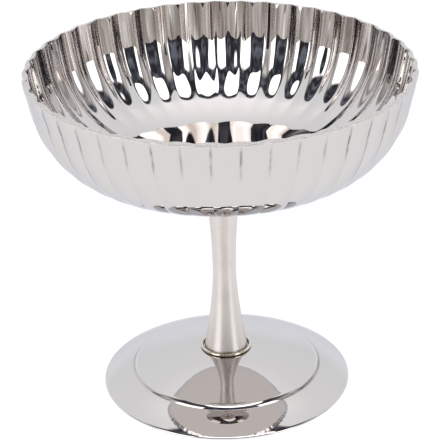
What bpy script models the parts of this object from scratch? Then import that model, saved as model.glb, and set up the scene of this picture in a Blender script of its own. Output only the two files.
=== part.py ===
"""Footed dessert cup.

A fluted sheet-metal bowl stands on a waisted hollow stem and a domed foot.
A tie rod runs from a threaded boss under the bowl, through the stem and the
foot's seat, to a nut and washers in the hollow beneath the foot.
Metres, +Z up, origin on the table at the centre of the foot.
"""
import math

import bmesh
import bpy
from mathutils import Vector

for old in list(bpy.data.objects):
    bpy.data.objects.remove(old, do_unlink=True)

MM = 0.001
GAP = 0.3                      # clearance kept between neighbouring pieces, mm

# ---------------------------------------------------------------- bowl, mm
RIM_R = 55.4                   # outer radius at the ridges between flutes, on the lip
LIP_FLARE = 0.3                # how far the lip stands out from the wall
LIP_TOP = 1.6                  # depth of the lip below the rim
LIP_HEIGHT = 5.0               # length over which it runs out below that
LIP_FILL = 0.25                # share of a crease's depth that the lip fills
LIP_ROUND = 0.65               # height of the round on the rim's outer edge
RIM_EDGE = 0.3                 # level edge left inside that round
HEIGHT = 99.7                  # rim height above the table
RIM_RISE = 0.2                 # straight height added above the arc of the wall
BOWL_SHEET = 0.7               # sheet at the wall, drawn thin
BASE_SHEET = 1.20              # sheet at the bottom
RIM_ANGLE = math.radians(83.4)        # wall slope at the rim
SHOULDER_ANGLE = math.radians(76.5)   # wall slope where the knuckle starts
HEEL_ANGLE = math.radians(26.0)       # slope where the knuckle opens into the heel
DISH_ANGLE = math.radians(11.0)       # slope where the dished bottom starts
WALL_RADIUS = 88.0             # meridian radius of the wall
KNUCKLE_RADIUS = 24.5          # meridian radius of the turn into the bottom
HEEL_RADIUS = 51.0             # meridian radius of the smooth heel
FLUTES = 44
FLUTE_DEPTH = 1.03             # hollow of a flute below its ridges
FLUTE_POWER = 1.4              # section from the hollow (0) out to a ridge (1)
PANEL_SHARE = 0.6              # depth of the creases outside, as a share of that
PANEL_POWER = 1.7              # outside: convex panels between narrow creases
FLUTE_PHASE = math.radians(-3.03)     # hollow nearest the front, from -Y to +X
FLUTE_FULL_ANGLE = math.radians(61.0)  # flutes have full depth above this slope
FLUTE_END_ANGLE = math.radians(21.0)   # and have run out at this one
FLUTE_STEPS = 4                # facets across one flute
WALL_ROWS = 3
KNUCKLE_ROWS = 5
HEEL_ROWS = 2

# ---------------------------------------------------------------- stem, mm
STEM_BASE_R = 6.45
STEM_WAIST_R = 3.4
STEM_TOP_R = 5.5
STEM_WALL = 0.8
STEM_WAIST_Z = 35.75
STEM_LOWER_POWER = 1.6
STEM_UPPER_POWER = 1.95
STEM_ROWS = 5                  # rows on each side of the waist

# ---------------------------------------------------------------- foot, mm
FOOT_R = 36.7
FOOT_SHEET = 1.0
FOOT_EDGE_Z = 0.44             # height of the outer edge
FLANGE_SLOPE_OUT = 0.62        # rise per unit radius at the outer edge
FLANGE_SLOPE_IN = 0.29         # and at the step
STEP_R = 27.95                 # radius at the bottom of the step
STEP_WIDTH = 1.7               # the dome rolls over into the step
STEP_END = math.radians(62.0)  # slope at the foot of the step
SEAT_R = 7.15                  # flat seat for stem and ring
DOME_SLOPE_IN = 0.102
DOME_SLOPE_OUT = 0.287
FOOT_HOLE_R = 2.5

# ------------------------------------------------- ring and fasteners, mm
RING_R = 7.2                   # radius of the ring's section centre
RING_SECTION = 0.86            # diameter of the section
ROD_R = 2.0
BOSS_TOP_R = 3.8
BOSS_END_R = 3.4
BOSS_LENGTH = 6.0
WASHER_R = 7.0
WASHER_T = 1.0
LOCK_R = 3.8
LOCK_T = 0.9
LOCK_GAP = math.radians(14.0)
NUT_FLATS = 7.0
NUT_T = 3.2
ROD_BELOW_NUT = 1.2


def material(name, colour, roughness, metallic=1.0):
    mat = bpy.data.materials.new(name)
    mat.use_nodes = True
    bsdf = mat.node_tree.nodes["Principled BSDF"]
    bsdf.inputs["Base Color"].default_value = (*colour, 1.0)
    bsdf.inputs["Roughness"].default_value = roughness
    bsdf.inputs["Metallic"].default_value = metallic
    return mat


MIRROR_STEEL = (0.80, 0.79, 0.78)
SATIN_STEEL = (0.76, 0.74, 0.72)
BRIGHT_STEEL = (0.62, 0.61, 0.60)
BRAZED_STEEL = (0.72, 0.63, 0.50)


def finish(bm, name, mat, angle=30.0):
    """Turn a bmesh in millimetres into a smooth-shaded object in metres."""
    bmesh.ops.scale(bm, vec=Vector((MM, MM, MM)), verts=bm.verts)
    bmesh.ops.recalc_face_normals(bm, faces=bm.faces)
    mesh = bpy.data.meshes.new(name)
    bm.to_mesh(mesh)
    bm.free()
    mesh.shade_smooth()
    mesh.set_sharp_from_angle(angle=math.radians(angle))
    mesh.materials.append(mat)
    ob = bpy.data.objects.new(name, mesh)
    bpy.context.scene.collection.objects.link(ob)
    return ob


def turned(name, profile, steps, mat, angle=30.0):
    """Spin a closed profile of (radius, height) points about Z."""
    bm = bmesh.new()
    ring = [bm.verts.new((r, 0.0, z)) for r, z in profile]
    edges = [bm.edges.new((a, b)) for a, b in zip(ring, ring[1:] + ring[:1])]
    bmesh.ops.spin(bm, geom=ring + edges, cent=(0, 0, 0), axis=(0, 0, 1),
                   dvec=(0, 0, 0), angle=2.0 * math.pi, steps=steps,
                   use_merge=True)
    bmesh.ops.remove_doubles(bm, verts=bm.verts, dist=1e-4)
    return finish(bm, name, mat, angle)


# ==================================================================== bowl
def bowl_meridian():
    """Meridian of the wall along a ridge, rim first: (r, z, slope angle)."""
    points = []
    r, z = RIM_R - LIP_FLARE, HEIGHT - RIM_RISE
    spans = ((RIM_ANGLE, SHOULDER_ANGLE, WALL_RADIUS, WALL_ROWS),
             (SHOULDER_ANGLE, HEEL_ANGLE, KNUCKLE_RADIUS, KNUCKLE_ROWS),
             (HEEL_ANGLE, DISH_ANGLE, HEEL_RADIUS, HEEL_ROWS))
    points.append((r, HEIGHT, RIM_ANGLE))
    for drop in (0.3 * LIP_ROUND, LIP_ROUND):
        a = math.acos(math.cos(RIM_ANGLE) + drop / WALL_RADIUS)
        points.append((r - WALL_RADIUS * (math.sin(RIM_ANGLE) - math.sin(a)), HEIGHT - drop, a))
    for start, end, radius, rows in spans:
        for i in range(1, rows + 1):
            a = start + (end - start) * i / rows
            points.append((r - radius * (math.sin(start) - math.sin(a)),
                           z - radius * (math.cos(a) - math.cos(start)), a))
        r, z, _ = points[-1]
    return points


def ease(t):
    t = min(1.0, max(0.0, t))
    return t * t * (3.0 - 2.0 * t)


def flute_fade(angle):
    t = (angle - FLUTE_END_ANGLE) / (FLUTE_FULL_ANGLE - FLUTE_END_ANGLE)
    return min(1.0, max(0.0, t))


def lip(z):
    """1 at the rim, 0 below the lip."""
    return 1.0 - ease((HEIGHT - z - LIP_TOP) / LIP_HEIGHT)


def rim_round(z):
    """How far the outer edge has turned in at this height: 1 at the rim, 0 below the round."""
    climb = min(1.0, max(0.0, 1.0 - (HEIGHT - z) / LIP_ROUND))
    return 1.0 - math.sqrt(1.0 - climb * climb)


def outer_share(z, angle):
    """Share of the flutes' depth on the outer skin; the thick base and the lip even them out."""
    most = 0.6 + 0.4 * ease((angle - math.radians(40.0)) / math.radians(24.0))
    return PANEL_SHARE * min(flute_fade(angle), most) * (1.0 - LIP_FILL * lip(z))


def base_gain(angle):
    """How much thicker the sheet is than at the wall."""
    return (BASE_SHEET - BOWL_SHEET) * ease((math.radians(64.0) - angle) / math.radians(36.0))


meridian = bowl_meridian()
DISH_EDGE_R, DISH_EDGE_Z, _ = meridian[-1]
DISH_RADIUS = DISH_EDGE_R / math.sin(DISH_ANGLE)
BOWL_BOTTOM_Z = DISH_EDGE_Z - DISH_RADIUS * (1.0 - math.cos(DISH_ANGLE)) - (BASE_SHEET - BOWL_SHEET)


def dish_z(r):
    return BOWL_BOTTOM_Z + DISH_RADIUS - math.sqrt(DISH_RADIUS ** 2 - r * r)


def bowl_skin(bm, outer):
    """One skin of the sheet, rim to middle; returns its rim."""
    columns = FLUTES * FLUTE_STEPS
    pitch = 2.0 * math.pi / FLUTES
    rows = []
    for r, z, a in meridian:
        lift = math.cos(a) * ease((HEIGHT - z) / 4.0)      # the rim is cut level
        row = []
        for j in range(columns):
            u = 2.0 * (j % FLUTE_STEPS) / FLUTE_STEPS - 1.0   # -1 at a ridge
            inset = FLUTE_DEPTH * flute_fade(a) * (1.0 - abs(u) ** FLUTE_POWER) + BOWL_SHEET
            turn_in = 0.0
            if outer:
                inside = inset
                inset = (FLUTE_DEPTH * outer_share(z, a) * (1.0 - abs(u)) ** PANEL_POWER
                         - LIP_FLARE * lip(z) - base_gain(a))
                turn_in = (inside - inset - RIM_EDGE) * rim_round(z)
            theta = FLUTE_PHASE + (j / FLUTE_STEPS - 0.5) * pitch
            rr = r - inset * math.sin(a) - turn_in
            row.append(bm.verts.new((rr * math.sin(theta), -rr * math.cos(theta), z + inset * lift)))
        rows.append(row)
    for upper, lower in zip(rows, rows[1:]):
        for j in range(columns):
            k = (j + 1) % columns
            bm.faces.new((upper[j], lower[j], lower[k], upper[k]))
    # smooth dished bottom, one column to a flute
    raised = 0.0 if outer else BASE_SHEET
    inner = []
    for share in (0.72, 0.38):
        r = DISH_EDGE_R * share
        inner.append([bm.verts.new((r * math.sin(FLUTE_PHASE + (i - 0.5) * pitch),
                                    -r * math.cos(FLUTE_PHASE + (i - 0.5) * pitch),
                                    dish_z(r) + raised)) for i in range(FLUTES)])
    last = rows[-1]
    for i in range(FLUTES):
        a, b = inner[0][i], inner[0][(i + 1) % FLUTES]
        e = [last[(i * FLUTE_STEPS + s) % columns] for s in range(FLUTE_STEPS + 1)]
        half = FLUTE_STEPS // 2
        for s in range(half):
            bm.faces.new((e[s], a, e[s + 1]))
        bm.faces.new((e[half], a, b))
        for s in range(half, FLUTE_STEPS):
            bm.faces.new((e[s], b, e[s + 1]))
        c, d = inner[1][i], inner[1][(i + 1) % FLUTES]
        bm.faces.new((a, c, d, b))
    centre = bm.verts.new((0.0, 0.0, BOWL_BOTTOM_Z + raised))
    for i in range(FLUTES):
        bm.faces.new((inner[1][i], centre, inner[1][(i + 1) % FLUTES]))
    return rows[0]


def make_bowl():
    bm = bmesh.new()
    outside, inside = bowl_skin(bm, True), bowl_skin(bm, False)
    for j in range(len(outside)):
        k = (j + 1) % len(outside)
        bm.faces.new((outside[j], outside[k], inside[k], inside[j]))
    return finish(bm, "bowl", material("bowl_steel", MIRROR_STEEL, 0.06), 20.0)


make_bowl()


# ==================================================================== foot
DOME_EDGE_R = STEP_R - STEP_WIDTH
DOME_SPAN = DOME_EDGE_R - SEAT_R
STEP_START = math.atan(DOME_SLOPE_OUT)
STEP_ROUND = STEP_WIDTH / (math.sin(STEP_END) - math.sin(STEP_START))
STEP_HEIGHT = STEP_ROUND * (math.cos(STEP_START) - math.cos(STEP_END))
FLANGE_SPAN = FOOT_R - STEP_R


def flange_z(r):
    """Upper face of the flange; its slope grows linearly outwards."""
    v = FOOT_R - r
    fall = (FLANGE_SLOPE_OUT - FLANGE_SLOPE_IN) / FLANGE_SPAN
    return FOOT_EDGE_Z + FLANGE_SLOPE_OUT * v - 0.5 * fall * v * v


DOME_EDGE_Z = flange_z(STEP_R) + STEP_HEIGHT
SEAT_Z = DOME_EDGE_Z + DOME_SPAN * (DOME_SLOPE_IN + (DOME_SLOPE_OUT - DOME_SLOPE_IN) * 2.0 / 3.0)


def dome_z(r):
    """Upper face of the dome; flattest at the seat, steepest at the step."""
    u = (r - SEAT_R) / DOME_SPAN
    gain = DOME_SLOPE_OUT - DOME_SLOPE_IN
    return SEAT_Z - DOME_SPAN * (DOME_SLOPE_IN * u + gain * (u * u - u ** 3 / 3.0))


def slope_of(fn, r):
    return (fn(r - 0.01) - fn(r + 0.01)) / 0.02


def make_foot():
    top = [(FOOT_HOLE_R, SEAT_Z), (SEAT_R, SEAT_Z)]
    n = 6
    for i in range(1, n + 1):
        r = SEAT_R + DOME_SPAN * i / n
        top.append((r, dome_z(r)))
    n = 4                                   # rounded step
    for i in range(1, n + 1):
        a = STEP_START + (STEP_END - STEP_START) * i / n
        top.append((DOME_EDGE_R + STEP_ROUND * (math.sin(a) - math.sin(STEP_START)),
                    DOME_EDGE_Z - STEP_ROUND * (math.cos(STEP_START) - math.cos(a))))
    n = 4
    for i in range(1, n + 1):
        r = STEP_R + FLANGE_SPAN * i / n
        top.append((r, flange_z(r)))

    def under(fn, r):
        return fn(r) - FOOT_SHEET * math.hypot(1.0, slope_of(fn, r))

    edge = FOOT_R                           # where the underside meets the table
    while under(flange_z, edge) < 0.0:
        edge -= 0.02
    bottom = [(FOOT_R, 0.0), (edge, 0.0)]
    n = 3
    inner_step = STEP_R - 0.4
    for i in range(1, n + 1):
        r = edge + (inner_step - edge) * i / n
        bottom.append((r, under(flange_z, r)))
    start = DOME_EDGE_R - 0.5
    for i in range(0, 5):
        r = start + (SEAT_R - start) * i / 4
        bottom.append((r, under(dome_z, r) if i < 4 else SEAT_Z - FOOT_SHEET))
    bottom.append((FOOT_HOLE_R, SEAT_Z - FOOT_SHEET))
    return turned("foot", top + bottom, 48, material("foot_steel", MIRROR_STEEL, 0.05), 25.0)


make_foot()


# ==================================================================== stem
STEM_BASE_Z = SEAT_Z + GAP
STEM_TOP_Z = dish_z(0.0) - GAP


def stem_r(z):
    """Outer radius of the waisted stem."""
    if z < STEM_WAIST_Z:
        t = (STEM_WAIST_Z - z) / (STEM_WAIST_Z - STEM_BASE_Z)
        return STEM_WAIST_R + (STEM_BASE_R - STEM_WAIST_R) * t ** STEM_LOWER_POWER
    t = (z - STEM_WAIST_Z) / (STEM_TOP_Z - STEM_WAIST_Z)
    return STEM_WAIST_R + (STEM_TOP_R - STEM_WAIST_R) * t ** STEM_UPPER_POWER


stem_z = [STEM_BASE_Z + (STEM_WAIST_Z - STEM_BASE_Z) * i / STEM_ROWS for i in range(STEM_ROWS)]
stem_z += [STEM_WAIST_Z + (STEM_TOP_Z - STEM_WAIST_Z) * i / STEM_ROWS for i in range(STEM_ROWS + 1)]
outside = [(stem_r(z), z) for z in reversed(stem_z)]
inside = [(stem_r(z) - STEM_WALL, z) for z in stem_z]
turned("stem", outside + inside, 32, material("stem_steel", SATIN_STEEL, 0.32))

# ============================================================= collar ring
ring_z = SEAT_Z + GAP + 0.5 * RING_SECTION
section = [(RING_R + 0.5 * RING_SECTION * math.cos(2.0 * math.pi * i / 10),
            ring_z - 0.5 * RING_SECTION * math.sin(2.0 * math.pi * i / 10)) for i in range(10)]
turned("collar_ring", section, 40, material("ring_steel", BRAZED_STEEL, 0.18), 60.0)

# ================================================================ fasteners
boss_top = dish_z(0.0) - GAP
boss_end = boss_top - BOSS_LENGTH
socket_top = boss_top - 1.2
turned("bowl_boss",
       [(0.0, boss_top), (BOSS_TOP_R, boss_top), (BOSS_TOP_R, boss_top - 1.5),
        (BOSS_END_R, boss_end + 0.4), (BOSS_END_R - 0.4, boss_end),
        (ROD_R + GAP, boss_end), (ROD_R + GAP, socket_top), (0.0, socket_top)],
       24, material("boss_steel", BRIGHT_STEEL, 0.30))

washer_top = SEAT_Z - FOOT_SHEET - GAP
turned("clamp_washer",
       [(ROD_R + GAP, washer_top), (WASHER_R - 0.2, washer_top), (WASHER_R, washer_top - 0.2),
        (WASHER_R, washer_top - WASHER_T), (ROD_R + GAP, washer_top - WASHER_T)],
       32, material("washer_steel", BRIGHT_STEEL, 0.35))

lock_top = washer_top - WASHER_T - GAP


def make_lock_washer():
    """Split ring of rectangular section, open by LOCK_GAP."""
    bm = bmesh.new()
    pts = [(ROD_R + GAP, lock_top), (LOCK_R, lock_top), (LOCK_R, lock_top - LOCK_T), (ROD_R + GAP, lock_top - LOCK_T)]
    verts = [bm.verts.new((r, 0.0, z)) for r, z in pts]
    face = bm.faces.new(verts)
    geom = verts + list(face.edges) + [face]
    out = bmesh.ops.spin(bm, geom=geom, cent=(0, 0, 0), axis=(0, 0, 1), dvec=(0, 0, 0),
                         angle=2.0 * math.pi - LOCK_GAP, steps=26)
    bmesh.ops.remove_doubles(bm, verts=bm.verts, dist=1e-4)
    return finish(bm, "lock_washer", material("lock_washer_steel", BRIGHT_STEEL, 0.40))


make_lock_washer()

nut_top = lock_top - LOCK_T - GAP
nut_end = nut_top - NUT_T


def make_nut():
    """Hexagon nut: chamfered prism with a through hole."""
    corner = NUT_FLATS / math.sqrt(3.0)
    bm = bmesh.new()
    levels = ((nut_top, NUT_FLATS / 2.0 / corner), (nut_top - 0.35, 1.0),
              (nut_end + 0.35, 1.0), (nut_end, NUT_FLATS / 2.0 / corner))
    loops = []
    for z, share in levels:
        loops.append([bm.verts.new((corner * share * math.cos(math.pi * k / 3.0),
                                    corner * share * math.sin(math.pi * k / 3.0), z)) for k in range(6)])
    for upper, lower in zip(loops, loops[1:]):
        for k in range(6):
            m = (k + 1) % 6
            bm.faces.new((upper[k], lower[k], lower[m], upper[m]))
    bm.faces.new(loops[0])
    bm.faces.new(list(reversed(loops[-1])))
    nut = finish(bm, "nut", material("nut_steel", BRIGHT_STEEL, 0.30), 20.0)

    bm = bmesh.new()
    bmesh.ops.create_cone(bm, cap_ends=True, cap_tris=False, segments=24,
                          radius1=ROD_R + GAP, radius2=ROD_R + GAP, depth=NUT_T + 4.0)
    bmesh.ops.translate(bm, verts=bm.verts, vec=(0.0, 0.0, 0.5 * (nut_top + nut_end)))
    cutter = finish(bm, "nut_hole_cutter", nut.data.materials[0])
    cutter.hide_render = True
    cutter.display_type = "WIRE"
    hole = nut.modifiers.new("hole", "BOOLEAN")
    hole.operation = "DIFFERENCE"
    hole.object = cutter
    hole.solver = "EXACT"


make_nut()

rod_top = socket_top - GAP
rod_end = nut_end - ROD_BELOW_NUT
turned("tie_rod",
       [(0.0, rod_top), (ROD_R - 0.4, rod_top), (ROD_R, rod_top - 0.4),
        (ROD_R, rod_end + 0.4), (ROD_R - 0.4, rod_end), (0.0, rod_end)],
       20, material("rod_steel", BRIGHT_STEEL, 0.35))

# ------------------------------------------------- one parent for the set
frame = bpy.data.objects.new("cup_frame", None)
bpy.context.scene.collection.objects.link(frame)
for ob in list(bpy.context.scene.collection.objects):
    if ob is not frame:
        ob.parent = frame
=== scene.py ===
"""Looks of the footed dessert cup: a fluted mirror-polished bowl on a turned stem and a spun foot."""

import math

import bpy
import numpy as np
from mathutils import Matrix, Vector


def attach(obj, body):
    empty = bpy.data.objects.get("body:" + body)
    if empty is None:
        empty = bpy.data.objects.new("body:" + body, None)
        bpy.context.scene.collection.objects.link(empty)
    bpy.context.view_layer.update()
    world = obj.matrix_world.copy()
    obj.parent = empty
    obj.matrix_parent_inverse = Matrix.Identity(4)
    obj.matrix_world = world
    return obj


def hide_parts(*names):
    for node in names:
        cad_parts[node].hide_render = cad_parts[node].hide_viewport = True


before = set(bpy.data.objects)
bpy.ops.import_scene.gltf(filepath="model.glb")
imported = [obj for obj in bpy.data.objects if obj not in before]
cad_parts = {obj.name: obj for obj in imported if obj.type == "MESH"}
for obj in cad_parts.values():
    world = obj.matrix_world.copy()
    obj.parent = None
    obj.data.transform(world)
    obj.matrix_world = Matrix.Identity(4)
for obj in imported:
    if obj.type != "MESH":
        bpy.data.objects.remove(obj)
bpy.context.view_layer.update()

MM = 0.001

# ---------------------------------------------------------------- sizes, mm
GAP = 0.3

RIM_R = 55.4
LIP_FLARE = 0.3
LIP_TOP = 1.6
LIP_HEIGHT = 5.0
HEIGHT = 99.7
RIM_RISE = 0.2
BOWL_SHEET = 0.7
BASE_SHEET = 1.20
RIM_ANGLE = math.radians(83.4)
SHOULDER_ANGLE = math.radians(76.5)
HEEL_ANGLE = math.radians(26.0)
DISH_ANGLE = math.radians(11.0)
WALL_RADIUS = 88.0
KNUCKLE_RADIUS = 24.5
HEEL_RADIUS = 51.0
FLUTES = 44
FLUTE_DEPTH = 1.03
LIP_FILL = 0.25
OUTER_SHARE = 0.6
FLUTE_PHASE = math.radians(-3.03)
FLUTE_FULL_ANGLE = math.radians(61)
FLUTE_END_ANGLE = math.radians(21)

FOOT_R = 36.7
FOOT_SHEET = 1.0
FOOT_EDGE_Z = 0.44
FLANGE_SLOPE_OUT = 0.62
FLANGE_SLOPE_IN = 0.29
STEP_R = 27.95
STEP_WIDTH = 1.7
STEP_END = math.radians(62.0)
SEAT_R = 7.15
DOME_SLOPE_IN = 0.102
DOME_SLOPE_OUT = 0.287
FOOT_HOLE_R = 2.5

STEM_BASE_R = 6.45
STEM_WAIST_R = 3.4
STEM_WAIST_Z = 35.75
STEM_TOP_R = 5.5
STEM_WALL = 0.8
STEM_POWER_LOW = 1.6
STEM_POWER_HIGH = 1.95

RING_R = 7.2
RING_SECTION = 0.86
ROD_R = 2.0
BOSS_TOP_R = 3.8
BOSS_END_R = 3.4
BOSS_LENGTH = 6.0
WASHER_R = 7.0
WASHER_T = 1.0
LOCK_R = 3.8
LOCK_T = 0.9
LOCK_GAP = math.radians(14.0)
NUT_FLATS = 7.0
NUT_T = 3.2
ROD_BELOW_NUT = 1.2


def smooth01(t):
    t = np.clip(t, 0.0, 1.0)
    return t * t * (3.0 - 2.0 * t)


# ---------------------------------------------------------------- mesh helpers
def mesh_object(name, points, faces, sharp=None):
    """A smooth-shaded mesh from points in mm; its faces are turned outward if its volume says they point in."""
    pts = np.asarray(points, float)
    tris = np.array([(f[0], f[i], f[i + 1]) for f in faces for i in range(1, len(f) - 1)])
    a, b, c = (pts[tris[:, k]] for k in range(3))
    if float(np.sum(a * np.cross(b, c))) < 0:
        faces = [tuple(reversed(f)) for f in faces]
    mesh = bpy.data.meshes.new(name)
    mesh.from_pydata([tuple(p) for p in pts * MM], [], faces)
    mesh.update()
    mesh.shade_smooth()
    if sharp is not None:
        mesh.set_sharp_from_angle(angle=math.radians(sharp))
    obj = bpy.data.objects.new(name, mesh)
    bpy.context.scene.collection.objects.link(obj)
    return obj


def grid_faces(rows, cols, close_rows):
    """Quads of a grid whose columns wrap round, and whose rows wrap too for a ring."""
    faces = []
    for i in range(rows if close_rows else rows - 1):
        a, b = i * cols, ((i + 1) % rows) * cols
        for j in range(cols):
            k = (j + 1) % cols
            faces.append((a + j, a + k, b + k, b + j))
    return faces


def turned_ring(name, loop, segments, sharp=None):
    """A closed profile of (r, z) turned about the axis."""
    th = np.arange(segments) * (2 * math.pi / segments)
    pts = []
    for r, z in loop:
        pts.extend(
            np.stack([r * np.sin(th), -r * np.cos(th), np.full(segments, z)], 1)
        )
    return mesh_object(name, pts, grid_faces(len(loop), segments, True), sharp)


def turned_solid(name, rows, segments, sharp=None):
    """A profile that starts and ends on the axis, turned about it; a row's r may be an array over the segments."""
    th = np.arange(segments) * (2 * math.pi / segments)
    pts = []
    for r, z in rows[1:-1]:
        r = np.broadcast_to(r, th.shape)
        z = np.broadcast_to(z, th.shape)
        pts.extend(np.stack([r * np.sin(th), -r * np.cos(th), z], 1))
    faces = grid_faces(len(rows) - 2, segments, False)
    n = len(pts)
    pts.append(np.array([0.0, 0.0, float(rows[0][1])]))
    pts.append(np.array([0.0, 0.0, float(rows[-1][1])]))
    last = (len(rows) - 3) * segments
    for j in range(segments):
        k = (j + 1) % segments
        faces.append((n, k, j))
        faces.append((n + 1, last + j, last + k))
    return mesh_object(name, pts, faces, sharp)


def corner(p0, p1, p2, radius, steps):
    """Points of a fillet of that radius where p0-p1-p2 turns."""
    p0, p1, p2 = (np.array(p, float) for p in (p0, p1, p2))
    u, v = p0 - p1, p2 - p1
    lu, lv = np.linalg.norm(u), np.linalg.norm(v)
    u, v = u / lu, v / lv
    half = math.acos(max(-1.0, min(1.0, float(np.dot(u, v))))) / 2
    reach = min(radius / math.tan(half), 0.49 * lu, 0.49 * lv)
    rad = reach * math.tan(half)
    centre = p1 + (u + v) / np.linalg.norm(u + v) * (rad / math.sin(half))
    a, b = p1 + u * reach - centre, p1 + v * reach - centre
    turn = math.acos(max(-1.0, min(1.0, float(np.dot(a, b)) / rad**2)))
    out = []
    for i in range(steps + 1):
        t = i / steps
        out.append(
            tuple(
                centre
                + (a * math.sin((1 - t) * turn) + b * math.sin(t * turn))
                / math.sin(turn)
            )
        )
    return out


def rounded_loop(points, radii, steps=4):
    """A closed polygon with each corner rounded by its own radius."""
    out = []
    n = len(points)
    for i in range(n):
        if radii[i] <= 0:
            out.append(tuple(points[i]))
        else:
            out.extend(
                corner(points[i - 1], points[i], points[(i + 1) % n], radii[i], steps)
            )
    return out


# ---------------------------------------------------------------- bowl
LIP_ROUND = 0.65
RIM_EDGE = 0.16
WALL_LENGTH = WALL_RADIUS * (math.cos(SHOULDER_ANGLE) - math.cos(RIM_ANGLE))


def meridian():
    """Rows of the bowl's outer skin from rim to middle: (slope angle, r, z)."""
    rows = []
    r, z = RIM_R - LIP_FLARE - 0.06, HEIGHT - 0.02
    arc = [LIP_ROUND * (1 - math.sin(math.radians(d))) / WALL_LENGTH for d in (90, 75, 60, 45, 30, 15, 0)]
    wall = arc + [0.22, 0.29, 0.40, 0.55, 0.77, 1.0]
    for start, end, radius, shares in (
        (RIM_ANGLE, SHOULDER_ANGLE, WALL_RADIUS, wall),
        (SHOULDER_ANGLE, HEEL_ANGLE, KNUCKLE_RADIUS, [i / 26 for i in range(1, 27)]),
        (HEEL_ANGLE, DISH_ANGLE, HEEL_RADIUS, [i / 8 for i in range(1, 9)]),
    ):
        for share in shares:
            a = start + (end - start) * share
            rows.append(
                (
                    a,
                    r - radius * (math.sin(start) - math.sin(a)),
                    z - radius * (math.cos(a) - math.cos(start)),
                )
            )
        r, z = rows[-1][1:]
    # the wall runs a little straighter than its arc, which lowers everything under it
    rows = [(a, rr, zz - RIM_RISE * float(smooth01((HEIGHT - zz) / 8.0))) for a, rr, zz in rows]
    r, z = rows[-1][1:]
    dish_radius = r / math.sin(DISH_ANGLE)
    bottom = z - dish_radius * (1 - math.cos(DISH_ANGLE))
    low = bottom - (BASE_SHEET - BOWL_SHEET)
    for k in (0.86, 0.7, 0.53, 0.36, 0.2, 0.08):
        a = math.asin(r * k / dish_radius)
        rows.append((a, r * k, bottom + dish_radius * (1 - math.cos(a))))
    return rows, low, dish_radius


ROWS, BOWL_BOTTOM_Z, DISH_RADIUS = meridian()
HALF = (0.0, 0.035, 0.08, 0.16, 0.28, 0.42, 0.57, 0.72, 0.84, 0.93)
CREASE_DEPTH = 0.05
CREASE_HALF = 0.08
RIM_ROUND_IN = 0.09
RIDGE_TIP = 0.16
RIDGE_TIP_HEIGHT = 1.4
RIDGE_TIP_HALF = 0.12
FLUTE_U = [-1.0] + [-h for h in reversed(HALF[1:])] + list(HALF)


def flute_rise(u):
    """Section of a flute from its hollow (u = 0) out to the ridge beside it (u = 1), both rounded over."""
    x = np.linspace(0, 1, 401)
    slope = (0.265 + 0.325 * x) * (1 - np.exp(-x / 0.239)) * (1 - np.exp(-(1 - x) / 0.14))
    rise = np.concatenate([[0.0], np.cumsum((slope[1:] + slope[:-1]) / 2)])
    return np.interp(np.abs(u), x, rise / rise[-1])


def base_gain(a):
    """Thickness that the outer skin keeps below the wall, where the sheet was drawn less."""
    return (BASE_SHEET - BOWL_SHEET) * float(smooth01((math.radians(64) - a) / math.radians(36)))


def outer_fade(a):
    """Share of the flutes' depth that the outer skin can show at slope a; the thicker base evens them out."""
    return 0.6 + 0.4 * float(smooth01((a - math.radians(40)) / math.radians(24)))


def flute_fade(a):
    """Share of the full depth at slope a: an even ramp, eased at both ends."""
    t = (a - FLUTE_END_ANGLE) / (FLUTE_FULL_ANGLE - FLUTE_END_ANGLE)
    ease = 0.10
    if t < ease:
        return max(0.0, t + ease) ** 2 / (4 * ease)
    if t > 1 - ease:
        return 1 - max(0.0, 1 + ease - t) ** 2 / (4 * ease)
    return t


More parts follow.
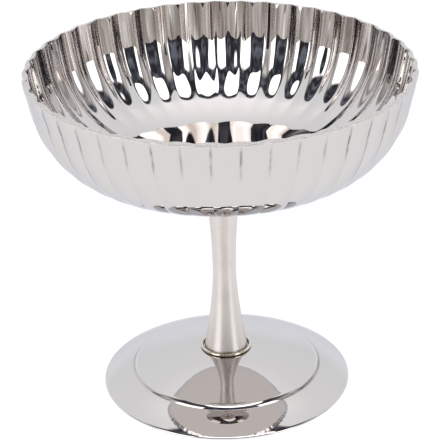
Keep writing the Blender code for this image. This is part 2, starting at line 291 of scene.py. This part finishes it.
def build_bowl():
    rng = np.random.default_rng(11)
    per = len(FLUTE_U)
    cols = FLUTES * per
    u = np.tile(np.array(FLUTE_U), FLUTES)
    which = np.repeat(np.arange(FLUTES), per)
    pitch = 2 * math.pi / FLUTES
    depth = FLUTE_DEPTH * (1 + 0.05 * rng.standard_normal(FLUTES))[which]
    section = 1 - flute_rise(u)
    # outside, the sheet shows broad convex panels that meet in narrow creases
    panels = OUTER_SHARE * (1 - np.abs(u)) ** 1.7
    crease_share = rng.uniform(0.55, 1.0, FLUTES)[which]
    theta0 = FLUTE_PHASE + (which + u * 0.5) * pitch
    # gentle unevenness left by pressing and hand polishing
    waves = [
        (
            int(rng.integers(3, 40)),
            rng.uniform(0, 6.28),
            rng.uniform(0.5, 5.0),
            rng.uniform(0, 6.28),
            rng.uniform(0.3, 1.0),
        )
        for _ in range(14)
    ]
    rows_out, rows_in, lines, ground = [], [], [], []
    for i, (a, r, z) in enumerate(ROWS):
        f = flute_fade(a)
        wave = np.zeros(cols)
        for k, p, m, q, w in waves:
            wave += w * np.sin(k * theta0 + p) * np.sin(m * a * 3 + q)
        calm = float(smooth01((a - math.radians(9)) / math.radians(16)))
        wave *= 0.010 * calm
        sa, ca = math.sin(a), math.cos(a)
        # outside, the hollow of each flute closes in a narrow crease below the rim
        drop = HEIGHT - z
        press = float(smooth01((drop - 0.8) / 2.2) * (1 - smooth01((drop - 6.5) / 6.5)))
        crease = CREASE_DEPTH * press * crease_share * np.clip(1 - (u / CREASE_HALF) ** 2, 0, 1)
        # strength of the shade painted along each outer crease below the rim
        lines.append(press * crease_share * np.clip(1 - np.abs(u) / 0.125, 0, 1))
        lip = float(1 - smooth01((drop - LIP_TOP) / LIP_HEIGHT))
        outer = depth * min(f, outer_fade(a)) * (1 - LIP_FILL * lip) * panels + crease - LIP_FLARE * lip - base_gain(a)
        # inside, the tip of each ridge is ground off just below the rim
        tip = RIDGE_TIP * max(0.0, 1 - drop / RIDGE_TIP_HEIGHT) ** 2 * np.exp(-(u / RIDGE_TIP_HALF) ** 2)
        inner = depth * f * section + BOWL_SHEET - tip
        # outside, the rim is rounded over until it meets the inner edge
        climb = min(1.0, max(0.0, 1 - (drop - 0.02) / LIP_ROUND))
        turn_in = (inner - outer - RIM_EDGE) * (1 - math.sqrt(1 - climb * climb))
        ground.append(np.full(cols, float(smooth01(climb * 1.6 + 0.4)) if climb > 0 else 0.0))
        rise = ca * float(smooth01(drop / 4.0))
        rows_out.append((r - (outer + wave) * sa - turn_in, z + (outer + wave) * rise))
        rows_in.append((r - (inner + wave) * sa, z + (inner + wave) * rise))
    # the cut itself is level and narrow, with its inner corner broken
    ri = rows_in[0][0]
    top = np.full(cols, HEIGHT - 0.02)
    rim = [(ri + RIM_EDGE, top)]
    for deg in (90, 120, 150, 180):
        c, s = math.cos(math.radians(deg)), math.sin(math.radians(deg))
        rim.append((ri + RIM_ROUND_IN * (1 + c), top - RIM_ROUND_IN * (1 - s)))
    keep_out = [k for k in range(1, len(ROWS))]
    sequence = [rows_out[k] for k in reversed(keep_out)] + rim + rows_in[1:]
    pts = []
    for rr, zz in sequence:
        zz = np.broadcast_to(zz, rr.shape)
        pts.extend(np.stack([rr * np.sin(theta0), -rr * np.cos(theta0), zz], 1))
    faces = grid_faces(len(sequence), cols, False)
    n = len(pts)
    pts.append(np.array([0, 0, BOWL_BOTTOM_Z]))
    pts.append(np.array([0, 0, BOWL_BOTTOM_Z + BASE_SHEET]))
    last = (len(sequence) - 1) * cols
    for j in range(cols):
        k = (j + 1) % cols
        faces.append((n, k, j))
        faces.append((n + 1, last + j, last + k))
    bowl = mesh_object("bowl_shell", pts, faces)
    # how much painted shade darkens the outer creases, read by the bowl's material
    crease_shade = np.zeros(len(pts))
    outside = np.concatenate([lines[k] for k in reversed(keep_out)])
    crease_shade[: len(outside)] = outside
    bowl.data.attributes.new("crease_shade", "FLOAT", "POINT").data.foreach_set("value", crease_shade)
    # the rim's outer round is ground and left satin
    satin = np.zeros(len(pts))
    outside = np.concatenate([ground[k] for k in reversed(keep_out)])
    satin[: len(outside)] = outside
    satin[len(outside) : len(outside) + 2 * cols] = 1.0
    bowl.data.attributes.new("satin", "FLOAT", "POINT").data.foreach_set("value", satin)
    # inside, the upper wall is painted with a warm reflection, brown with pale streaks
    painted_reflection = np.zeros(len(pts))
    first = len(outside) + len(rim) * cols
    inside = np.concatenate([np.full(cols, float(1 - smooth01((HEIGHT - z - 9.0) / 9.0))) for _, _, z in ROWS[1:]])
    painted_reflection[first : first + len(inside)] = inside
    bowl.data.attributes.new("painted_reflection", "FLOAT", "POINT").data.foreach_set("value", painted_reflection)
    return bowl


# ---------------------------------------------------------------- foot
def flange_z(r):
    v = FOOT_R - r
    return (
        FOOT_EDGE_Z
        + FLANGE_SLOPE_OUT * v
        - 0.5 * (FLANGE_SLOPE_OUT - FLANGE_SLOPE_IN) / (FOOT_R - STEP_R) * v * v
    )


def flange_slope(r):
    v = FOOT_R - r
    return FLANGE_SLOPE_OUT - (FLANGE_SLOPE_OUT - FLANGE_SLOPE_IN) / (FOOT_R - STEP_R) * v


DOME_EDGE_R = STEP_R - STEP_WIDTH
DOME_SPAN = DOME_EDGE_R - SEAT_R
STEP_START = math.atan(DOME_SLOPE_OUT)
STEP_ROUND = STEP_WIDTH / (math.sin(STEP_END) - math.sin(STEP_START))
STEP_HEIGHT = STEP_ROUND * (math.cos(STEP_START) - math.cos(STEP_END))
DOME_EDGE_Z = flange_z(STEP_R) + STEP_HEIGHT
SEAT_Z = DOME_EDGE_Z + DOME_SPAN * (
    DOME_SLOPE_IN + (DOME_SLOPE_OUT - DOME_SLOPE_IN) * 2 / 3
)


def dome_z(r):
    t = (r - SEAT_R) / DOME_SPAN
    return SEAT_Z - DOME_SPAN * (
        DOME_SLOPE_IN * t + (DOME_SLOPE_OUT - DOME_SLOPE_IN) * (t * t - t**3 / 3)
    )


def dome_slope(r):
    t = (r - SEAT_R) / DOME_SPAN
    return DOME_SLOPE_IN + (DOME_SLOPE_OUT - DOME_SLOPE_IN) * (2 * t - t * t)


def build_foot():
    top, under = [], []
    for r in np.linspace(SEAT_R, DOME_EDGE_R, 34):
        top.append((r, dome_z(r)))
        drop = FOOT_SHEET * math.hypot(1, dome_slope(r))
        under.append((r - 0.25, dome_z(r) - drop))
    # the dome rolls over into the step
    for i in range(1, 13):
        a = STEP_START + (STEP_END - STEP_START) * i / 12
        top.append(
            (
                DOME_EDGE_R + STEP_ROUND * (math.sin(a) - math.sin(STEP_START)),
                DOME_EDGE_Z - STEP_ROUND * (math.cos(STEP_START) - math.cos(a)),
            )
        )
    # small hollow corner where the step meets the flange
    wall_top = top[-2]
    top = top[:-1] + corner(
        wall_top, top[-1], (STEP_R + 1.2, flange_z(STEP_R + 1.2)), 0.28, 4
    )
    for r in np.linspace(STEP_R + 0.9, FOOT_R - 0.18, 26):
        top.append((r, flange_z(r)))
        drop = FOOT_SHEET * math.hypot(1, flange_slope(r))
        z = flange_z(r) - drop
        if z > 0.02:
            under.append((r - 0.35, z))
    # cut edge, rounded over, on the flat ring the foot stands on
    top.extend(
        [
            (FOOT_R - 0.06, FOOT_EDGE_Z - 0.02),
            (FOOT_R - 0.02, FOOT_EDGE_Z - 0.12),
            (FOOT_R - 0.02, 0.16),
            (FOOT_R - 0.07, 0.05),
            (FOOT_R - 0.18, 0.0),
        ]
    )
    inner = under[-1][0] + 0.02
    loop = (
        [(FOOT_HOLE_R + 0.1, SEAT_Z)]
        + [(4.0, SEAT_Z), (5.5, SEAT_Z)]
        + top
        + [(inner + 0.12, 0.0)]
        + list(reversed(under))
        + [(5.5, SEAT_Z - FOOT_SHEET), (4.0, SEAT_Z - FOOT_SHEET)]
        + [
            (FOOT_HOLE_R + 0.1, SEAT_Z - FOOT_SHEET),
            (FOOT_HOLE_R, SEAT_Z - FOOT_SHEET + 0.1),
            (FOOT_HOLE_R, SEAT_Z - 0.1),
        ]
    )
    return turned_ring("foot_shell", loop, 240, sharp=50)


# ---------------------------------------------------------------- stem and ring
SEAT_GAP = 0.08
STEM_LOW_Z = SEAT_Z + SEAT_GAP
STEM_TOP_Z = BOWL_BOTTOM_Z - GAP


def stem_r(z):
    if z < STEM_WAIST_Z:
        t = (STEM_WAIST_Z - z) / (STEM_WAIST_Z - STEM_LOW_Z)
        return STEM_WAIST_R + (STEM_BASE_R - STEM_WAIST_R) * t**STEM_POWER_LOW
    t = (z - STEM_WAIST_Z) / (STEM_TOP_Z - STEM_WAIST_Z)
    return STEM_WAIST_R + (STEM_TOP_R - STEM_WAIST_R) * t**STEM_POWER_HIGH


def build_stem():
    zs = np.linspace(STEM_LOW_Z + 0.12, STEM_TOP_Z - 0.12, 84)
    outer = (
        [(stem_r(STEM_LOW_Z) - 0.14, STEM_LOW_Z), (stem_r(STEM_LOW_Z) - 0.03, STEM_LOW_Z + 0.04)]
        + [(stem_r(z), z) for z in zs]
        + [(stem_r(STEM_TOP_Z) - 0.03, STEM_TOP_Z - 0.04), (stem_r(STEM_TOP_Z) - 0.14, STEM_TOP_Z)]
    )
    inner = [
        (stem_r(z) - STEM_WALL, z)
        for z in np.linspace(STEM_TOP_Z, STEM_LOW_Z, 30)
    ]
    return turned_ring("stem_tube", outer + inner, 128, sharp=50)


def build_ring():
    zc = SEAT_Z + SEAT_GAP + RING_SECTION / 2
    loop = []
    for i in range(20):
        a = 2 * math.pi * i / 20
        loop.append(
            (
                RING_R + RING_SECTION / 2 * math.cos(a),
                zc + RING_SECTION / 2 * math.sin(a),
            )
        )
    return turned_ring("stem_ring", loop, 128)


# ---------------------------------------------------------------- fasteners
BOSS_TOP_Z = BOWL_BOTTOM_Z - GAP
BOSS_END_Z = BOSS_TOP_Z - BOSS_LENGTH
SOCKET_TOP_Z = BOSS_TOP_Z - 1.2
WASHER_TOP_Z = SEAT_Z - FOOT_SHEET - GAP
LOCK_TOP_Z = WASHER_TOP_Z - WASHER_T - GAP
NUT_TOP_Z = LOCK_TOP_Z - LOCK_T - GAP
NUT_END_Z = NUT_TOP_Z - NUT_T
ROD_TOP_Z = SOCKET_TOP_Z - GAP
ROD_END_Z = NUT_END_Z - ROD_BELOW_NUT
BORE_R = ROD_R + GAP
THREAD_PITCH = 0.7
THREAD_DEPTH = 0.34


def build_rod():
    """Rod with a cut thread at both ends and a plain shank between."""
    segments = 48
    turn = np.arange(segments) / segments

    def radius(z):
        low = float(smooth01((ROD_END_Z + 11.0 - z) / 0.7))
        high = float(smooth01((z - (ROD_TOP_Z - 5.0)) / 0.7))
        phase = (z / THREAD_PITCH - turn) % 1.0
        tooth = np.clip(np.abs(phase - 0.5) * 2.6 - 0.25, 0.0, 1.0)
        r = ROD_R - 0.01 - max(low, high) * THREAD_DEPTH * tooth
        end = min(z - ROD_END_Z, ROD_TOP_Z - z)
        return np.minimum(r, ROD_R - 0.45 + max(0.0, end))

    zs = np.concatenate([
        np.arange(ROD_END_Z, ROD_END_Z + 11.2, THREAD_PITCH / 8),
        np.linspace(ROD_END_Z + 11.6, ROD_TOP_Z - 5.6, 12),
        np.arange(ROD_TOP_Z - 5.2, ROD_TOP_Z, THREAD_PITCH / 8),
        [ROD_TOP_Z],
    ])
    rows = [(0.0, ROD_END_Z)] + [(radius(float(z)), float(z)) for z in zs] + [(0.0, ROD_TOP_Z)]
    return turned_solid("tie_rod_threaded", rows, segments, sharp=60)


def build_boss():
    rows = [(0.0, BOSS_TOP_Z), (2.0, BOSS_TOP_Z), (BOSS_TOP_R - 0.16, BOSS_TOP_Z),
            (BOSS_TOP_R - 0.05, BOSS_TOP_Z - 0.05), (BOSS_TOP_R, BOSS_TOP_Z - 0.16),
            (BOSS_TOP_R, BOSS_TOP_Z - 1.45), (BOSS_TOP_R - 0.02, BOSS_TOP_Z - 1.6),
            (BOSS_END_R, BOSS_END_Z + 0.45), (BOSS_END_R - 0.06, BOSS_END_Z + 0.32),
            (BOSS_END_R - 0.42, BOSS_END_Z), (BORE_R + 0.25, BOSS_END_Z), (BORE_R, BOSS_END_Z + 0.25),
            (BORE_R, SOCKET_TOP_Z - 0.1), (BORE_R - 0.1, SOCKET_TOP_Z), (1.0, SOCKET_TOP_Z), (0.0, SOCKET_TOP_Z)]
    return turned_solid("bowl_boss_turned", rows, 72, sharp=40)


def build_washer():
    top, low = WASHER_TOP_Z, WASHER_TOP_Z - WASHER_T
    loop = rounded_loop([(BORE_R, top), (WASHER_R, top), (WASHER_R, low), (BORE_R, low)],
                        [0.12, 0.34, 0.16, 0.12], 4)
    return turned_ring("clamp_washer_stamped", loop, 128, sharp=50)


def build_lock_washer():
    """Split spring ring: a rounded rectangular section swept round, open at one side."""
    top, low = LOCK_TOP_Z, LOCK_TOP_Z - LOCK_T
    loop = rounded_loop([(BORE_R, top), (LOCK_R, top), (LOCK_R, low), (BORE_R, low)], [0.1] * 4, 3)
    steps = 88
    angle = np.linspace(0.006, 2 * math.pi - LOCK_GAP - 0.006, steps)
    n = len(loop)
    pts = [np.array([r * math.cos(a), r * math.sin(a), z]) for a in angle for r, z in loop]
    faces = []
    for i in range(steps - 1):
        for j in range(n):
            k = (j + 1) % n
            faces.append((i * n + j, i * n + k, (i + 1) * n + k, (i + 1) * n + j))
    faces.append(tuple(reversed(range(n))))
    faces.append(tuple((steps - 1) * n + j for j in range(n)))
    return mesh_object("lock_washer_split", pts, faces, sharp=50)


def build_nut():
    """Hexagon nut, both ends turned to a cone so that its corners run out in curves."""
    segments = 144
    th = np.arange(segments) * (2 * math.pi / segments)
    half = NUT_FLATS / 2
    corner_r = half / math.cos(math.pi / 6)
    # corners lie on +X, where the CAD nut has them; turned sections start at -Y
    from_x = th - math.pi / 2
    wedge = (from_x + math.pi / 6) % (math.pi / 3) - math.pi / 6
    hexagon = np.minimum((half - 0.015) / np.cos(math.pi / 6 - np.abs(wedge)), corner_r - 0.10)
    rows = []
    heights = [0.0, 0.05, 0.1, 0.16, 0.22, 0.3, 0.42]
    levels = [NUT_TOP_Z - h for h in heights] + [NUT_END_Z + h for h in reversed(heights)]
    loop = [(np.full(segments, BORE_R), NUT_TOP_Z - 0.22), (np.full(segments, BORE_R + 0.22), NUT_TOP_Z)]
    for z in levels:
        end = min(NUT_TOP_Z - z, z - NUT_END_Z)
        loop.append((np.minimum(hexagon, half - 0.03 + end * 1.75), z))
    loop += [(np.full(segments, BORE_R + 0.22), NUT_END_Z), (np.full(segments, BORE_R), NUT_END_Z + 0.22)]
    pts = []
    for r, z in loop:
        pts.extend(np.stack([r * np.sin(th), -r * np.cos(th), np.full(segments, z)], 1))
    return mesh_object("nut_hexagon", pts, grid_faces(len(loop), segments, True), sharp=25)


pieces = {
    "bowl": build_bowl(),
    "foot": build_foot(),
    "stem": build_stem(),
    "collar_ring": build_ring(),
    "bowl_boss": build_boss(),
    "tie_rod": build_rod(),
    "clamp_washer": build_washer(),
    "lock_washer": build_lock_washer(),
    "nut": build_nut(),
}


# ---------------------------------------------------------------- materials
class Nodes:
    """Short hand for a node tree."""

    def __init__(self, tree):
        self.tree = tree
        tree.nodes.clear()

    def add(self, kind, **props):
        n = self.tree.nodes.new(kind)
        for key, value in props.items():
            setattr(n, key, value)
        return n

    def put(self, socket, value):
        if isinstance(value, bpy.types.NodeSocket):
            self.tree.links.new(value, socket)
        else:
            socket.default_value = value

    def math(self, op, a, b=None, c=None):
        n = self.add("ShaderNodeMath", operation=op)
        for i, v in enumerate((a, b, c)):
            if v is not None:
                self.put(n.inputs[i], v)
        return n.outputs[0]

    def ramp(self, value, low, high, out_low=0.0, out_high=1.0, soft=True):
        n = self.add("ShaderNodeMapRange", interpolation_type="SMOOTHSTEP" if soft else "LINEAR")
        self.put(n.inputs["Value"], value)
        n.inputs["From Min"].default_value = low
        n.inputs["From Max"].default_value = high
        n.inputs["To Min"].default_value = out_low
        n.inputs["To Max"].default_value = out_high
        return n.outputs["Result"]

    def mix(self, share, a, b):
        n = self.add("ShaderNodeMix", data_type="RGBA")
        self.put(n.inputs[0], share)
        self.put(n.inputs[6], a if isinstance(a, bpy.types.NodeSocket) else (*a, 1.0))
        self.put(n.inputs[7], b if isinstance(b, bpy.types.NodeSocket) else (*b, 1.0))
        return n.outputs[2]

    def noise(self, vector, scale, detail=2.0, rough=0.5):
        n = self.add("ShaderNodeTexNoise")
        self.put(n.inputs["Vector"], vector)
        n.inputs["Scale"].default_value = scale
        n.inputs["Detail"].default_value = detail
        n.inputs["Roughness"].default_value = rough
        return n.outputs["Fac"]

    def vector(self, x, y, z):
        n = self.add("ShaderNodeCombineXYZ")
        for i, v in enumerate((x, y, z)):
            self.put(n.inputs[i], v)
        return n.outputs[0]


EDGE_TINT = (0.77, 0.79, 0.84)


def steel(name, light, dark, rough, rough_gain, grain, grain_height, smear_scale, crease_shade=False, stretch=0.0,
          step_shade=None, contact_shade=None):
    """Steel with a polishing grain, a smear map in its roughness and a slight drift in its colour.

    grain: "turned" for fine rings about the axis, "drawn" for lengthwise lines, "hand" for crossing strokes.
    """
    mat = bpy.data.materials.new(name)
    mat.use_nodes = True
    t = Nodes(mat.node_tree)
    out = t.add("ShaderNodeOutputMaterial")
    bsdf = t.add("ShaderNodeBsdfPrincipled")
    t.put(out.inputs[0], bsdf.outputs[0])
    bsdf.inputs["Metallic"].default_value = 1.0
    bsdf.inputs["Specular Tint"].default_value = (*EDGE_TINT, 1.0)
    if stretch:
        along = t.add("ShaderNodeTangent", direction_type="RADIAL", axis="Z")
        bsdf.inputs["Anisotropic"].default_value = stretch
        bsdf.inputs["Anisotropic Rotation"].default_value = 0.25
        t.put(bsdf.inputs["Tangent"], along.outputs[0])
    place = t.add("ShaderNodeTexCoord").outputs["Object"]
    sep = t.add("ShaderNodeSeparateXYZ")
    t.put(sep.inputs[0], place)
    x, y, z = sep.outputs
    radius = t.math("SQRT", t.math("ADD", t.math("MULTIPLY", x, x), t.math("MULTIPLY", y, y)))
    around = t.math("ARCTAN2", x, y)
    if grain == "turned":
        lines = t.noise(t.vector(t.math("MULTIPLY", radius, 1.0), t.math("MULTIPLY", z, 1.0),
                                 t.math("MULTIPLY", around, 0.0004)), 9000.0, 3.0, 0.6)
    elif grain == "drawn":
        lines = t.noise(t.vector(t.math("MULTIPLY", around, 0.006), t.math("MULTIPLY", z, 0.03),
                                 t.math("MULTIPLY", radius, 0.05)), 5200.0, 3.0, 0.6)
    else:
        one = t.noise(t.vector(t.math("MULTIPLY", around, 0.055), t.math("MULTIPLY", z, 0.12), radius), 1500.0, 3.0, 0.6)
        two = t.noise(t.vector(t.math("ADD", x, z), t.math("MULTIPLY", y, 0.08), 0.0), 1300.0, 2.0, 0.5)
        lines = t.math("MULTIPLY_ADD", one, 0.6, t.math("MULTIPLY", two, 0.4))
    smear = t.noise(place, smear_scale, 4.0, 0.55)
    spots = t.noise(place, smear_scale * 7.0, 2.0, 0.5)
    colour = t.mix(t.ramp(smear, 0.3, 0.7), light, dark)
    if crease_shade:
        # painted shade: the outer creases are darkened, unevenly along their length
        line = t.add("ShaderNodeAttribute", attribute_name="crease_shade").outputs["Fac"]
        patchy = t.ramp(t.noise(place, 330.0, 1.0), 0.30, 0.62, 0.35, 1.0)
        colour = t.mix(t.math("MULTIPLY", line, patchy), colour, (0.20, 0.185, 0.18))
        # painted reflection: the upper inner wall takes a warm brown tone with pale streaks
        painted_reflection = t.add("ShaderNodeAttribute", attribute_name="painted_reflection").outputs["Fac"]
        reflection_streaks = t.noise(t.vector(t.math("MULTIPLY", around, 15.0), t.math("MULTIPLY", z, 22.0), 0.0), 1.0, 2.0, 0.6)
        warm = t.mix(t.ramp(reflection_streaks, 0.36, 0.66), (0.39, 0.345, 0.318), (0.90, 0.86, 0.835))
        colour = t.mix(painted_reflection, colour, warm)
        satin = t.add("ShaderNodeAttribute", attribute_name="satin").outputs["Fac"]
        colour = t.mix(satin, colour, (0.755, 0.722, 0.706))
    if step_shade:
        # painted shade in the corner of the step, left off at the front and stronger towards the right
        line = t.math("MULTIPLY", t.ramp(radius, step_shade[0] * MM, step_shade[1] * MM),
                      t.ramp(radius, step_shade[1] * MM, step_shade[2] * MM, 1.0, 0.0))
        line = t.math("MULTIPLY", line, t.ramp(y, -23.0 * MM, -17.0 * MM))
        line = t.math("MULTIPLY", line, t.ramp(x, -26.0 * MM, 26.0 * MM, 0.6, 1.15))
        patchy = t.ramp(t.noise(t.vector(t.math("MULTIPLY", around, 1.7), 0.0, 0.0), 1.0, 2.0), 0.35, 0.65, 0.45, 0.85)
        colour = t.mix(t.math("MULTIPLY", line, patchy), colour, (0.17, 0.16, 0.157))
    if contact_shade:
        # painted shade: the ring's lowest edge, where it sits on the foot, turns dark brown
        colour = t.mix(t.ramp(z, contact_shade[0] * MM, contact_shade[1] * MM), (0.27, 0.215, 0.16), colour)
    t.put(bsdf.inputs["Base Color"], colour)
    rough_value = t.math("ADD", t.ramp(smear, 0.42, 0.78, rough, rough + rough_gain),
                         t.ramp(t.math("MULTIPLY", spots, lines), 0.24, 0.5, 0.0, rough_gain * 0.5))
    if crease_shade:
        worn = t.ramp(t.noise(place, 900.0, 2.0), 0.3, 0.7, 0.68, 0.80)
        rough_value = t.math("MAXIMUM", rough_value, t.math("MULTIPLY", satin, worn))
    t.put(bsdf.inputs["Roughness"], rough_value)
    bump = t.add("ShaderNodeBump")
    bump.inputs["Strength"].default_value = 1.0
    bump.inputs["Distance"].default_value = grain_height * MM
    t.put(bump.inputs["Height"], lines)
    t.put(bsdf.inputs["Normal"], bump.outputs[0])
    return mat


BRIGHT = (0.672, 0.637, 0.622)
materials = {
    "bowl": steel("bowl_mirror_steel", BRIGHT, (0.664, 0.628, 0.612), 0.022, 0.020, "hand", 0.00006, 45.0, True),
    "foot": steel("foot_mirror_steel", BRIGHT, (0.664, 0.628, 0.612), 0.030, 0.022, "turned", 0.00004, 38.0,
                  step_shade=(STEP_R - 0.65, STEP_R - 0.3, STEP_R + 0.4)),
    "stem": steel("stem_satin_steel", (0.760, 0.700, 0.668), (0.728, 0.669, 0.636), 0.36, 0.06, "drawn", 0.0012, 120.0, stretch=0.66),
    "collar_ring": steel("ring_brazed_steel", (0.76, 0.70, 0.60), (0.66, 0.585, 0.47), 0.12, 0.14, "turned", 0.0004, 420.0,
                         contact_shade=(SEAT_Z + SEAT_GAP + 0.1, SEAT_Z + SEAT_GAP + 0.42)),
    "bowl_boss": steel("boss_turned_steel", (0.60, 0.59, 0.575), (0.54, 0.53, 0.515), 0.24, 0.10, "turned", 0.0012, 160.0),
    "tie_rod": steel("rod_rolled_steel", (0.58, 0.57, 0.555), (0.50, 0.49, 0.475), 0.26, 0.12, "turned", 0.0008, 200.0),
    "clamp_washer": steel("washer_stamped_steel", (0.60, 0.59, 0.58), (0.53, 0.52, 0.505), 0.28, 0.14, "hand", 0.0010, 150.0),
    "lock_washer": steel("lock_washer_spring_steel", (0.47, 0.46, 0.45), (0.38, 0.37, 0.36), 0.34, 0.14, "turned", 0.0012, 220.0),
    "nut": steel("nut_bright_steel", (0.61, 0.60, 0.58), (0.53, 0.52, 0.50), 0.22, 0.14, "hand", 0.0010, 220.0),
}
for node, obj in pieces.items():
    obj.data.materials.clear()
    obj.data.materials.append(materials[node])
    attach(obj, "root")
    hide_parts(node)

# ---------------------------------------------------------------- stage
floor_mesh = bpy.data.meshes.new("floor")
ring = [(4 * math.cos(a), 4 * math.sin(a), -0.0002) for a in np.linspace(0, 2 * math.pi, 64, endpoint=False)]
floor_mesh.from_pydata(ring, [], [tuple(range(64))])
floor = bpy.data.objects.new("floor", floor_mesh)
bpy.context.scene.collection.objects.link(floor)
floor_mat = bpy.data.materials.new("floor_white")
floor_mat.use_nodes = True
t = Nodes(floor_mat.node_tree)
out = t.add("ShaderNodeOutputMaterial")
em = t.add("ShaderNodeEmission")
em.inputs["Color"].default_value = (0.977, 0.989, 1.0, 1.0)
em.inputs["Strength"].default_value = 1.07
t.put(out.inputs[0], em.outputs[0])
floor_mesh.materials.append(floor_mat)


def studio():
    """A white sweep behind, a round softbox overhead, a tall panel at each front side, and a dark room behind the camera."""
    world = bpy.data.worlds.new("studio")
    bpy.context.scene.world = world
    world.use_nodes = True
    t = Nodes(world.node_tree)
    out = t.add("ShaderNodeOutputWorld")
    sep = t.add("ShaderNodeSeparateXYZ")
    t.put(sep.inputs[0], t.add("ShaderNodeTexCoord").outputs["Generated"])
    x, y, z = sep.outputs
    azimuth = t.math("MULTIPLY", t.math("ARCTAN2", x, t.math("MULTIPLY", y, -1.0)), 180 / math.pi)
    height = t.math("MULTIPLY", t.math("ARCSINE", z), 180 / math.pi)
    up = t.math("MAXIMUM", z, 0.02)
    px, py = t.math("DIVIDE", x, up), t.math("DIVIDE", y, up)
    dx, dy = t.math("SUBTRACT", px, 0.10), t.math("ADD", py, 0.33)
    reach = t.math("SQRT", t.math("ADD", t.math("MULTIPLY", dx, dx), t.math("MULTIPLY", dy, dy)))
    overhead = t.ramp(reach, 0.425, 0.385)

    def panel(left, left_soft, right, right_soft):
        m = t.math("MULTIPLY", t.ramp(azimuth, left - left_soft, left + left_soft),
                   t.ramp(azimuth, right + right_soft, right - right_soft))
        return t.math("MULTIPLY", m, t.ramp(height, 45.0, 39.0))

    left = panel(-65.0, 3.0, -30.5, 1.5)
    right = panel(39.5, 1.5, 64.0, 5.0)
    aside = t.math("ABSOLUTE", t.math("SUBTRACT", azimuth, 1.5))
    sweep = t.math("MULTIPLY", t.ramp(aside, 97.0, 103.0),
                   t.math("MULTIPLY", t.ramp(py, 0.07, 0.13), t.ramp(reach, 0.49, 0.56)))
    wings = t.math("MULTIPLY", t.ramp(aside, 64.0, 70.0), t.ramp(height, 50.0, 38.0))
    # soft folds in the cloth of the wings, and a dim, uneven room
    folds = t.ramp(t.noise(t.vector(t.math("MULTIPLY", azimuth, 0.13), t.math("MULTIPLY", height, 0.02), 0.0), 1.0, 1.0), 0.32, 0.68)
    dim = t.ramp(t.noise(t.vector(t.math("MULTIPLY", azimuth, 0.06), t.math("MULTIPLY", height, 0.06), 4.0), 1.0, 1.0), 0.42, 0.72)
    room = t.mix(dim, (0.033, 0.034, 0.044), (0.185, 0.205, 0.255))
    tone = t.mix(wings, room, t.mix(folds, (0.33, 0.323, 0.317), (0.88, 0.865, 0.85)))
    low = t.mix(t.ramp(height, 8.0, 23.0), (1.05, 1.075, 1.12), (0.93, 0.96, 0.985))
    behind = t.math("MULTIPLY", t.ramp(height, 42.0, 78.0), t.ramp(aside, 112.0, 150.0, 0.25, 1.0))
    pale = t.mix(behind, low, (1.34, 1.33, 1.37))
    tone = t.mix(sweep, tone, pale)
    tone = t.mix(left, tone, (2.4, 2.43, 2.46))
    tone = t.mix(right, tone, (2.4, 2.43, 2.46))
    tone = t.mix(overhead, tone, (2.4, 2.4, 2.4))
    light = t.add("ShaderNodeBackground")
    t.put(light.inputs[0], tone)
    plain = t.add("ShaderNodeBackground")
    plain.inputs[0].default_value = (1.0, 1.0, 1.0, 1.0)
    plain.inputs[1].default_value = 1.04
    pick = t.add("ShaderNodeMixShader")
    t.put(pick.inputs[0], t.add("ShaderNodeLightPath").outputs["Is Camera Ray"])
    t.put(pick.inputs[1], light.outputs[0])
    t.put(pick.inputs[2], plain.outputs[0])
    t.put(out.inputs[0], pick.outputs[0])


studio()

# ---------------------------------------------------------------- camera
cam_data = bpy.data.cameras.new("camera")
cam_data.sensor_width = 36.0
cam_data.lens = 36.0 * 1839.6303 / 440.0
cam_data.clip_start = 0.01
cam_data.clip_end = 50
cam = bpy.data.objects.new("camera", cam_data)
bpy.context.scene.collection.objects.link(cam)
yaw, pitch, roll = 0.0020, 0.4538, -0.0235
turn = Matrix.Rotation(yaw, 3, "Z")
forward = turn @ Vector((0, math.cos(pitch), -math.sin(pitch)))
side = turn @ Vector((1, 0, 0))
up = side.cross(forward)
right = math.cos(roll) * side + math.sin(roll) * up
above = -math.sin(roll) * side + math.cos(roll) * up
pose = Matrix((right, above, -forward)).transposed().to_4x4()
pose.translation = Vector((0.0, -8.7248 * 0.055, 5.1967 * 0.055))
cam.matrix_world = pose
bpy.context.scene.camera = cam

scene = bpy.context.scene
scene.view_settings.view_transform = "Standard"
scene.cycles.max_bounces = 16
scene.cycles.glossy_bounces = 12
scene.cycles.diffuse_bounces = 4
